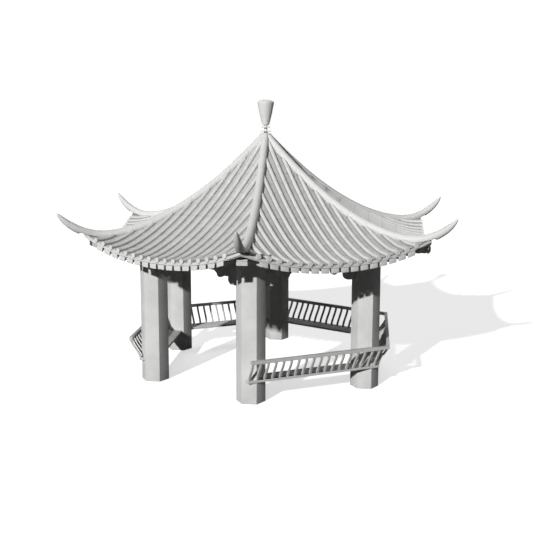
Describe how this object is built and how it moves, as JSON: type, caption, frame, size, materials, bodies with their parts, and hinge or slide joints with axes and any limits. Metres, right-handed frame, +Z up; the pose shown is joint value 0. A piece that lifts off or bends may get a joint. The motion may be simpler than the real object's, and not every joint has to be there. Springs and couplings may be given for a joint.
{
  "type": "hexagonal garden pavilion",
  "caption": "Open hexagonal garden pavilion: columns joined by lintels and benches with leaning slatted backs, under a hollow-curved tiled roof with upturned ridges and a vase finial.",
  "frame": {"origin": "on the ground under the finial, at the centre of the ring of columns", "axes": "+Z up, -Y out of the entrance bay, +X to the right of a visitor walking in"},
  "size_m": [8.874, 7.6872, 5.743],
  "materials": {
    "stone": "dressed pale stone, fine tooled",
    "timber": "pale weathered timber, limewashed",
    "carving": "pale weathered timber, carved",
    "bench": "pale weathered timber, worn smooth",
    "roof_bed": "pale boards under a bedding of lime and clay",
    "ridge_tile": "pale unglazed clay",
    "roof_tile": "pale unglazed clay tiles",
    "eave_board": "pale painted board",
    "finial": "smooth pale fired clay"
  },
  "bodies": {
    "root": {"column_front_right": "stone", "column_right": "stone", "column_back_right": "stone", "column_back_left": "stone", "column_left": "stone", "column_front_left": "stone", "lintel_front": "timber", "lintel_front_right": "timber", "lintel_back_right": "timber", "lintel_back": "timber", "lintel_back_left": "timber", "lintel_front_left": "timber", "purlins": "timber", "brackets": "carving", "seat_front_right": "bench", "seat_back_right": "bench", "seat_back": "bench", "seat_back_left": "bench", "seat_front_left": "bench", "back_front_right": "bench", "back_back_right": "bench", "back_back": "bench", "back_back_left": "bench", "back_front_left": "bench", "beam_front_right": "timber", "beam_right": "timber", "beam_back_right": "timber", "beam_back_left": "timber", "beam_left": "timber", "beam_front_left": "timber", "slope_front": "roof_bed", "slope_front_right": "roof_bed", "slope_back_right": "roof_bed", "slope_back": "roof_bed", "slope_back_left": "roof_bed", "slope_front_left": "roof_bed", "ridge_front_right": "ridge_tile", "ridge_right": "ridge_tile", "ridge_back_right": "ridge_tile", "ridge_back_left": "ridge_tile", "ridge_left": "ridge_tile", "ridge_front_left": "ridge_tile", "eave_boards": "eave_board", "king_post": "timber", "finial": "finial"}
  },
  "joints": []
}
